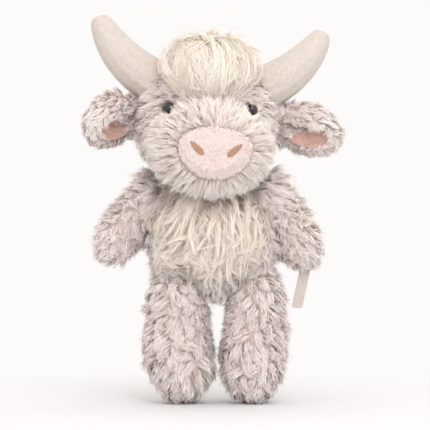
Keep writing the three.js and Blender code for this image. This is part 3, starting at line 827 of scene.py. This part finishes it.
def off_the_eyes(strands):
    """Which strands cross in front of neither eye: the fur leaves each a leaning oval."""
    clear = np.ones(len(strands), bool)
    strands = np.concatenate([strands, (strands[:, 1:] + strands[:, :-1]) / 2], axis=1)
    for sign, eye, width in zip((-1, 1), eye_middles, EYE_CLEAR_WIDTHS):
        across = strands[..., 0] - eye[0]
        up = strands[..., 2] - eye[2]
        lean = sign * EYE_LEAN
        wide = across * math.cos(lean) + up * math.sin(lean)
        tall = up * math.cos(lean) - across * math.sin(lean)
        inside = (wide / width) ** 2 + (tall / EYE_CLEAR_HEIGHT) ** 2 < 1
        clear &= ~inside.any(1)
    return clear


def comb_down(points, outs):
    """Straight down."""
    return np.tile([0, 0, -1.0], (len(points), 1))


def round_the_eyes(points, heading):
    """Turns the fur beside each eye in over its edge."""
    for eye in eye_middles:
        toward = (eye - points) * np.array([1, 0.3, 0.3])
        near = np.interp(np.linalg.norm(eye - points, axis=1), EYE_EDGE, [1, 0])[:, None]
        heading = heading * (1 - near) + unit(toward) * near
    return heading


def comb_head(points, outs):
    """Away from the nose and well down."""
    away = points - nose_middle
    away[:, 1] = np.maximum(away[:, 1], 0) * 0.4
    return round_the_eyes(points, unit(away) + np.array([0, 0.1, -1.25]))


def comb_muzzle(points, outs):
    """Away from the nose on all sides, back and a little down."""
    away = unit(points - nose_middle - np.array([0, 0.02, 0]))
    return round_the_eyes(points, away + np.array([0, 0.25, -0.22]))


def comb_along(start, fall):
    """Away from a point, and down by a share."""
    origin = np.array(start, float)
    return lambda points, outs: unit(points - origin) + np.array([0, 0, -fall])


def comb_ear(side, root):
    """Out from the ear's root and down, but in over the rim of the lining."""
    lining_tree = tree_of(ear_linings[side])
    middle = middle_of(f"ear_lining_{side}")
    along = comb_along(root, 0.6)

    def comb(points, outs):
        near = np.array([lining_tree.find_nearest(Vector(point))[3] for point in points])
        inward = np.interp(near, LINING_EDGE, [0.8, 0])[:, None]
        return along(points, outs) * (1 - inward) + unit(middle - points) * 1.4 * inward
    return comb


def on_the_rim(side):
    """The band of the lining that the hood's pile overlaps, wider at its top."""
    low, high = (np.array(c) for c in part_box(f"ear_lining_{side}"))
    middle, half = (low + high) / 2, (high - low) / 2

    def keep(points, normals):
        across = ((points - middle) / half)[:, (0, 2)]
        edge = np.interp(across[:, 1], [-1, 1], [0.98, 0.72])
        share = np.linalg.norm(across, axis=1)
        return (share > edge) & (share < 1.25) & (normals[:, 1] < 0)
    return keep


def comb_rim(side):
    """In over the lining from its rim, and down."""
    middle = middle_of(f"ear_lining_{side}")
    outward = np.sign(middle[0] - neck.x)
    return lambda points, outs: unit(middle - points) * 0.8 + np.array([0.5 * outward, -0.3, -0.5])


def comb_one_way(way):
    """One direction everywhere, and a little down."""
    way = unit(np.array(way, float)) + np.array([0, 0, -0.4])
    return lambda points, outs: np.tile(way, (len(points), 1))


def comb_leg(hip):
    """Down the leg, and inward under the foot."""
    def comb(points, outs):
        inward = np.array([hip[0], 0, 0]) - points
        inward[:, 2] = 0
        turned = np.interp(points[:, 2], SOLE_HEIGHTS, [1, 0])[:, None]
        return np.array([0, 0, -1.0]) + unit(inward) * 1.6 * turned
    return comb


body_pile = Pile(
    length=5.2 * MM, height=5.4 * MM, tuft=5.6 * MM, lock=1.6 * MM, density=1.7e6,
    width=0.42 * MM, wander=0.42, tuft_pull=0.3, lock_pull=0.5, sway=0.4 * MM, frizz=1.0 * MM,
    spread=0.2, droop=0.62, stray=0.4, uneven=0.2, sleek=0.5,
)
seat_pile = Pile(
    length=3 * MM, height=3 * MM, tuft=4 * MM, lock=1.4 * MM, density=1.4e6, width=0.42 * MM,
    wander=0.5, tuft_pull=0.3, lock_pull=0.5, sway=0.2 * MM, frizz=0.5 * MM, stray=0.2, uneven=0.2,
)
leg_pile = Pile(
    length=6.6 * MM, height=6 * MM, tuft=7.4 * MM, lock=1.7 * MM, density=1.7e6,
    width=0.52 * MM, wander=0.4, tuft_pull=0.4, lock_pull=0.45, sway=0.4 * MM, frizz=1.1 * MM,
    spread=0.2, droop=0.74, stray=0.45, uneven=0.2, sleek=0.5,
)
muzzle_pile = Pile(
    length=5.4 * MM, height=8.2 * MM, tuft=4.2 * MM, lock=1.4 * MM, density=2.2e6,
    width=0.4 * MM, wander=0.3, tuft_pull=0.16, lock_pull=0.42, sway=0.4 * MM, frizz=0.9 * MM,
    droop=0.55, stray=0.3, uneven=0.16,
)
forelock_pile = Pile(
    length=34 * MM, height=3.4 * MM, tuft=7 * MM, lock=2 * MM, density=2e6, width=0.32 * MM,
    steps=5, wander=0.35, tuft_pull=0.2, lock_pull=0.6, sway=2 * MM, waves=0.9, frizz=2.6 * MM,
    droop=0.75, stray=0.45, uneven=0.25, sleek=0.9,
)
wisp_pile = Pile(
    length=15 * MM, height=7 * MM, tuft=6 * MM, lock=2.2 * MM, density=0.6e6, width=0.3 * MM,
    steps=5, wander=0.8, tuft_pull=0.5, lock_pull=0.7, sway=1.5 * MM, frizz=2.2 * MM, droop=0.55,
    stray=0.3, uneven=0.3, sleek=0.25,
)
chest_pile = Pile(
    length=33 * MM, height=9 * MM, tuft=4.4 * MM, lock=2.2 * MM, density=0.85e6, width=0.32 * MM,
    steps=7, wander=0.28, tuft_pull=0.82, lock_pull=0.82, sway=3.2 * MM, waves=0.9, frizz=0.8 * MM,
    spread=0.3, droop=0.8, relief=0.3, stray=0.08, sleek=0.45,
)
brow_pile = Pile(
    length=38 * MM, height=5.6 * MM, tuft=4.2 * MM, lock=2 * MM, density=1e6, width=0.3 * MM,
    steps=7, wander=0.3, tuft_pull=0.72, lock_pull=0.78, sway=3 * MM, waves=0.8, frizz=1.4 * MM,
    spread=0.25, droop=0.72, relief=0.25, stray=0.12, uneven=0.2, sleek=0.45,
)
rim_pile = Pile(
    length=4.6 * MM, height=2.6 * MM, tuft=4 * MM, lock=1.4 * MM, density=2.6e6, width=0.4 * MM,
    wander=0.4, tuft_pull=0.3, lock_pull=0.5, sway=0.3 * MM, frizz=0.7 * MM, stray=0.3, uneven=0.2,
)
ear_pile = Pile(
    length=6.5 * MM, height=4.2 * MM, tuft=5 * MM, lock=1.6 * MM, density=2e6, width=0.4 * MM,
    wander=0.26, tuft_pull=0.3, lock_pull=0.5, sway=0.3 * MM, frizz=0.7 * MM, stray=0.25,
    uneven=0.18,
)
velour_pile = Pile(
    length=0.7 * MM, height=0.9 * MM, tuft=1.3 * MM, lock=0.6 * MM, density=8e6, width=0.34 * MM,
    wander=1.5, tuft_pull=0.2, lock_pull=0.3, sway=0, frizz=0.2 * MM, stray=0.3, uneven=0.25,
    sleek=0.6,
)
limb_trees = [
    tree_of(*(nodes[f"{limb}_cover_{side}"] for side in SIDES)) for limb in ("arm", "leg")
]


def seam_shares(points):
    """How near each point is to the seams of the arms and of the legs, from 0 to 1."""
    away = [[tree.find_nearest(Vector(point))[3] for point in points] for tree in limb_trees]
    return np.clip(1 - np.array(away) / SEAM_REACH, 0, 1)


def comb_torso(points, outs):
    """Down, and out over the seams of the arms."""
    near = seam_shares(points)[0]
    outward = np.sign(points[:, 0] - torso_middle[0]) * near
    return np.array([0, 0, -1.0]) + outward[:, None] * np.array([1.2, 0, 0])


def collar_share(points):
    """How near each point is to the shoulders' ridge under the chin, from 0 to 1."""
    ridge = joints["shoulder_left"]["pos_m"][2]
    return np.interp(points[:, 2], [ridge - depth for depth in COLLAR_DEPTHS], [0, 1])


def torso_trim(points):
    """Longer fur over the seams and the collar, shorter in the crotch."""
    arm, leg = seam_shares(points)
    rise = points[:, 2] - torso_low[2]
    crotch = np.interp(rise, [CROTCH_CLEAR, CROTCH_REACH], [0.25, 1])
    return (1 + 0.6 * arm + leg + 0.2 * collar_share(points)) * crotch


def torso_loft(points):
    """Fuller fur over the seams and the collar."""
    arm, leg = seam_shares(points)
    return 1 + 0.2 * arm + 0.2 * leg + 0.4 * collar_share(points)


def leg_trim(hip):
    """Shorter fur under the foot, between the legs and under the belly's."""
    cover_tree = tree_of(nodes["torso_cover"])
    outward = np.sign(hip[0] - torso_middle[0])

    def trim(points):
        inner = np.clip((hip[0] - points[:, 0]) * outward / LEG_REACH, 0, 1)
        high = np.interp(points[:, 2], INNER_HEIGHTS, [0, 1])
        near = np.array([cover_tree.find_nearest(Vector(point))[3] for point in points])
        covered = np.interp(near, BELLY_EDGE, [0.5, 1])
        foot = np.interp(points[:, 2], [2 * MM, 10 * MM, 30 * MM], [0.4, 0.65, 1.1])
        return foot * (1 - 0.6 * inner * high) * covered
    return trim


def ear_trim(side):
    """Longer fur on the hood over the lining, shorter under it."""
    low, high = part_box(f"ear_lining_{side}")
    heights = [low[2], low[2] + 6 * MM, high[2], high[2] + 6 * MM]
    return lambda p: np.interp(p[:, 2], heights, [0.6, 0.7, 1.5, 1])


# Head and muzzle

horn_tree = tree_of(*horn_skins.values(), forelock_skin)
fleece(
    "head_fur", "head", "body_fur", head_skin, body_pile, comb_head, BODY_PILE, 11, horn_tree,
    6 * MM,
    keep=lambda p, n: (nearest_part(p) == "head_cover") & clear_of_eyes(p),
    trim=lambda p: np.interp(from_part(p, "muzzle_cover"), MUZZLE_EDGE, [0.5, 1]),
    avoid=off_the_eyes,
)
fleece(
    "muzzle_fur", "head", "muzzle_fur", head_skin, muzzle_pile, comb_muzzle, MUZZLE_PILE, 12,
    keep=lambda p, n: (nearest_part(p) == "muzzle_cover") & clear_of_eyes(p),
    avoid=off_the_eyes, replaced=["muzzle_cover"],
)

# Torso. Its fur runs over a passing form, whose clefts between torso and limbs are closed

TORSO_PARTS = ["torso_cover", "torso_filling", "chest_pile_patch"]
LIMB_PARTS = [
    f"{limb}_{part}_{side}"
    for limb in ("arm", "leg") for part in ("cover", "filling") for side in SIDES
]
body_guide = soft_form(
    "body_guide", TORSO_PARTS + LIMB_PARTS, SKIN_VOXEL, SKIN_INSET, 8, BACKING, CLEFT_CLOSING,
)
torso_tree = tree_of(*(nodes[name] for name in TORSO_PARTS))
limb_tree = tree_of(*(nodes[name] for name in LIMB_PARTS if "cover" in name))


def on_the_torso(points):
    """Which points of the guide lie over the torso and not over a limb."""
    near = np.array([
        torso_tree.find_nearest(Vector(p))[3] < limb_tree.find_nearest(Vector(p))[3] + width
        for p, width in zip(points, SEAM_OVERLAP * (1 + 2.5 * collar_share(points)))
    ])
    return near & (points[:, 2] > torso_low[2] + CROTCH_CLEAR)


# The bib: where the chest's long hair grows, past its patch
chest_low, chest_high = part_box("chest_pile_patch")
chest_middle = middle_of("chest_pile_patch")
BIB_HALF_WIDTH = 0.5 * (chest_high[0] - chest_low[0]) + 8 * MM
BIB_LOW = chest_low[2] - 20 * MM
BIB_HIGH = chest_high[2] + 14 * MM
BIB_NARROW_SHARE = 0.5


def bib_share(points):
    """How far out in the long hair each point is, 1 at its edge: it narrows downward."""
    rise = (points[:, 2] - BIB_LOW) / (BIB_HIGH - BIB_LOW)
    half = BIB_HALF_WIDTH * (BIB_NARROW_SHARE + (1 - BIB_NARROW_SHARE) * np.clip(rise * 1.5, 0, 1))
    across = (points[:, 0] - chest_middle[0] + 5 * MM * (1 - rise)) / half
    share = (np.abs(across) ** 3 + np.abs(2 * rise - 1) ** 3) ** (1 / 3)
    return np.where(points[:, 1] < torso_middle[1], share, 2)


def on_the_bib(edge):
    """Keeps roots that lie in the long hair, as far out as an edge."""
    return lambda points, normals: (bib_share(points) < edge) & on_the_torso(points)


fleece(
    "torso_fur", "torso", "body_fur", body_guide, body_pile, comb_torso, BODY_PILE, 13,
    keep=lambda p, n: (bib_share(p) > 0.9) & (p[:, 1] < torso_middle[1]) & on_the_torso(p),
    trim=torso_trim, loft=torso_loft,
)
fleece(
    "torso_back_fur", "torso", "body_fur", body_guide, body_pile, comb_torso, BODY_PILE, 20,
    keep=lambda p, n: (p[:, 1] >= torso_middle[1]) & on_the_torso(p),
    trim=torso_trim, loft=torso_loft,
)

# Short fur on the torso itself, where a limb that swings away uncovers it
fleece(
    "torso_seat_fur", "torso", "body_fur", torso_skin, seat_pile, comb_down, BODY_PILE, 23,
    keep=lambda p, n: seam_shares(p).max(0) > 0.3,
)


# Forelock. Its hair runs over a passing form of the head with the brow's cleft closed


def shorter_below(points, bottom, reach, least):
    """Keeps long hair from hanging past a height."""
    return np.clip((points[:, 2] - bottom) / reach, least, 1)


forelock_low, forelock_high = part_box("forelock_pile_patch")


def comb_forelock(points, outs):
    """Away from the crown on all sides, then down over the brow."""
    crown = np.array([head_middle[0], (forelock_low[1] + forelock_high[1]) / 2, forelock_high[2]])
    away = (points - crown) / CROWN_REACH
    return away * np.array([0.45, 1, 0]) + np.array([0, -0.6, -0.8])


def within_the_crown(edge):
    """Keeps the hair between the horns and narrows it over the brow."""
    half = (forelock_high[0] - forelock_low[0]) / 2 + edge
    middle = (forelock_high[0] + forelock_low[0]) / 2

    def keep(strands):
        rise = strands[..., 2] - forelock_low[2]
        room = half * np.interp(rise, [-8 * MM, 16 * MM], [0.5, 1])
        return (np.abs(strands[..., 0] - middle) < room).all(1)
    return keep


head_guide = soft_form(
    "head_guide", HEAD_PARTS + ["forelock_pile_patch"], SKIN_VOXEL, SKIN_INSET, 8, BACKING,
    BROW_CLOSING,
)
fleece(
    "forelock_fur", "head", "cream_pile", forelock_skin, forelock_pile, comb_forelock, CREAM_PILE,
    14, trim=lambda p: shorter_below(p, forelock_low[2] - 16 * MM, 40 * MM, 0.45),
    over=[head_guide], avoid=within_the_crown(1 * MM),
)
fleece(
    "forelock_locks", "head", "cream_pile", forelock_skin, brow_pile, comb_forelock, CREAM_PILE,
    22, trim=lambda p: shorter_below(p, forelock_low[2] - 22 * MM, 44 * MM, 0.5),
    over=[head_guide], avoid=within_the_crown(3 * MM),
)
bpy.data.objects.remove(head_guide)
crown_line = forelock_low[2] + 0.62 * (forelock_high[2] - forelock_low[2])
fleece(
    "crown_wisps", "head", "cream_pile", forelock_skin, wisp_pile, comb_forelock, CREAM_PILE, 18,
    keep=lambda p, n: p[:, 2] > crown_line, avoid=within_the_crown(4 * MM),
)


# Chest


def comb_chest(points, outs):
    """Down the chest, out to the sides and a little to the left."""
    spread = (points[:, 0] - chest_middle[0]) / BIB_HALF_WIDTH
    turn = 0.9 * drift(points + 7 * MM, 60 * MM)
    return np.stack([spread * 0.8 - 0.3 + turn, np.zeros(len(points)), -np.ones(len(points))], 1)


def within_the_bib(strands):
    """Which strands stay between the long hair's two sides."""
    return (np.abs(strands[..., 0] - chest_middle[0]) < BIB_HALF_WIDTH + 1 * MM).all(1)


fleece(
    "bib_fur", "torso", "cream_pile", body_guide, body_pile, comb_chest, BIB_PILE, 15,
    keep=on_the_bib(1.05), trim=torso_trim, loft=torso_loft,
)
fleece(
    "bib_locks", "torso", "cream_pile", body_guide, chest_pile, comb_chest, BIB_CREAM, 19,
    keep=on_the_bib(0.9), avoid=within_the_bib,
    trim=lambda p: np.interp(p[:, 2], [BIB_LOW, BIB_HIGH], [0.8, 1.05]),
)
bpy.data.objects.remove(body_guide)

# Tail, arms, legs and ears. The ears' rims run over a passing form of hood and lining

fleece("tail_fur", "tail", "body_fur", tail_skin, ear_pile, comb_down, BODY_PILE, 16)
fleece("tuft_fur", "tail", "cream_pile", tuft_skin, ear_pile, comb_down, CREAM_PILE, 17)
for number, side in enumerate(SIDES):
    arm, leg, ear = f"arm_{side}", f"leg_{side}", f"ear_{side}"
    along_the_arm = middle_of(f"arm_cover_{side}") - joints[f"shoulder_{side}"]["pos_m"]
    hip, root = joints[f"hip_{side}"]["pos_m"], joints[f"ear_fold_{side}"]["pos_m"]
    fleece(
        f"arm_fur_{side}", arm, "body_fur", arm_skins[side], body_pile,
        comb_one_way(along_the_arm), BODY_PILE, 21 + number,
    )
    fleece(
        f"leg_fur_{side}", leg, "body_fur", leg_skins[side], leg_pile, comb_leg(hip), BODY_PILE,
        31 + number, trim=leg_trim(hip),
    )
    lining = ear_linings[side]
    fleece(
        f"ear_fur_{side}", ear, "body_fur", ear_skins[side], ear_pile, comb_ear(side, root),
        BODY_PILE, 41 + number, tree_of(lining), 4 * MM, trim=ear_trim(side), over=[lining],
    )
    ear_guide = soft_form(
        f"ear_guide_{side}", [f"ear_cover_{side}", f"ear_lining_{side}"], FINE_VOXEL, 0.6 * MM, 4,
        BACKING, EAR_CLOSING,
    )
    fleece(
        f"ear_rim_fur_{side}", ear, "body_fur", ear_guide, rim_pile, comb_rim(side), BODY_PILE,
        46 + number, keep=on_the_rim(side), trim=ear_trim(side),
    )
    bpy.data.objects.remove(ear_guide)


# Nose, nostrils, eyes and tag

nose = stuffed(
    "nose_velour", ["nose_patch"], "head", "nose_velour", NOSE_VELOUR, FINE_VOXEL, 0, 10,
)
nostril_tree = tree_of(*(nodes[f"nostril_{side}"] for side in SIDES))
fleece(
    "nose_nap", "head", "nose_velour", nose, velour_pile, comb_down, NOSE_NAP, 51, nostril_tree,
    3 * MM,
)
NOSTRIL_THREAD = stitch_paint()
EYE_GLOSS = eye_paint()
WASHER = plastic_paint("washer_plastic", srgb(220, 220, 216), srgb(238, 238, 234))
for side in SIDES:
    stuffed(
        f"nostril_{side}_stitch", [f"nostril_{side}"], "head", "nostril_thread", NOSTRIL_THREAD,
        0.35 * MM, 0, 4,
    )
    eye = soft_form(f"eye_{side}_gloss", [f"eye_{side}"], 0.35 * MM, 0, 6, EYE_GLOSS)
    dress(eye, "head", "eye_plastic", f"eye_{side}")
    nodes[f"eye_washer_{side}"].data.materials.clear()
    nodes[f"eye_washer_{side}"].data.materials.append(WASHER)
tag = soft_form("tag_cloth", ["tag"], 0.4 * MM, 0, 2, tag_paint())
points = arrays(tag)[0]
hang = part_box("tag")[1][2] - points[:, 2]
points[:, 0] -= TAG_SLANT * hang
points[:, 1] += TAG_CURL * np.sin(hang / TAG_LENGTH * math.pi)
set_points(tag.data, points)
dress(tag, "tag", "tag_ribbon", "tag")


# Floor, light and camera

BACKDROP = srgb(253, 251, 249)


def floor_paint():
    """White paper that keeps the toy's shadow and fades into the backdrop further out."""
    paint = Paint("floor", roughness=0.9)
    paint.colour(paint.mix(paint.noise(0.3, 2), srgb(225, 227, 229), srgb(227, 229, 231)))
    place = paint.node("ShaderNodeNewGeometry")
    far = paint.node("ShaderNodeVectorMath", {"operation": "LENGTH"}, out=1, Vector=place)
    fade = ((far - FLOOR_CLEAR) / FLOOR_FADE).limited()
    glow = paint.node("ShaderNodeEmission", Color=BACKDROP)
    lit = Value(paint.tree, paint.shader.outputs[0])
    sockets = {0: fade * shown_rays(paint.tree), 1: lit, 2: glow}
    blend = add_node(paint.tree, "ShaderNodeMixShader", {}, sockets)
    feed(paint.tree, paint.tree.nodes["Material Output"].inputs["Surface"], blend)
    return paint.material


bpy.ops.mesh.primitive_grid_add(x_subdivisions=4, y_subdivisions=4, size=FLOOR_SIZE)
floor = bpy.context.object
floor.name = "floor"
floor.data.materials.append(floor_paint())


def area_light(name, where, size, power):
    """A round lamp that faces the toy's neck."""
    light = bpy.data.lights.new(name, "AREA")
    light.shape = "DISK"
    light.size = size
    light.energy = power
    obj = bpy.data.objects.new(name, light)
    bpy.context.collection.objects.link(obj)
    obj.location = where
    aim = neck - Vector(where)
    obj.rotation_euler = aim.to_track_quat("-Z", "Y").to_euler()


for lamp in LAMPS:
    area_light(*lamp)
world = bpy.data.worlds.new("studio")
bpy.context.scene.world = world
world.use_nodes = True
sky = world.node_tree
shown = mixed(sky, shown_rays(sky), STUDIO_LIGHT, BACKDROP)
feed(sky, sky.nodes["Background"].inputs["Color"], shown)

camera_data = bpy.data.cameras.new("camera")
camera_data.sensor_width = SENSOR_WIDTH
camera_data.lens = SENSOR_WIDTH * CAMERA_DISTANCE / PHOTO_WIDTH
camera = bpy.data.objects.new("camera", camera_data)
bpy.context.collection.objects.link(camera)
camera.location = (neck.x, neck.y - CAMERA_DISTANCE, CAMERA_HEIGHT)
camera.rotation_euler = (math.pi / 2, 0, 0)
bpy.context.scene.camera = camera
bpy.context.scene.view_settings.view_transform = "Standard"
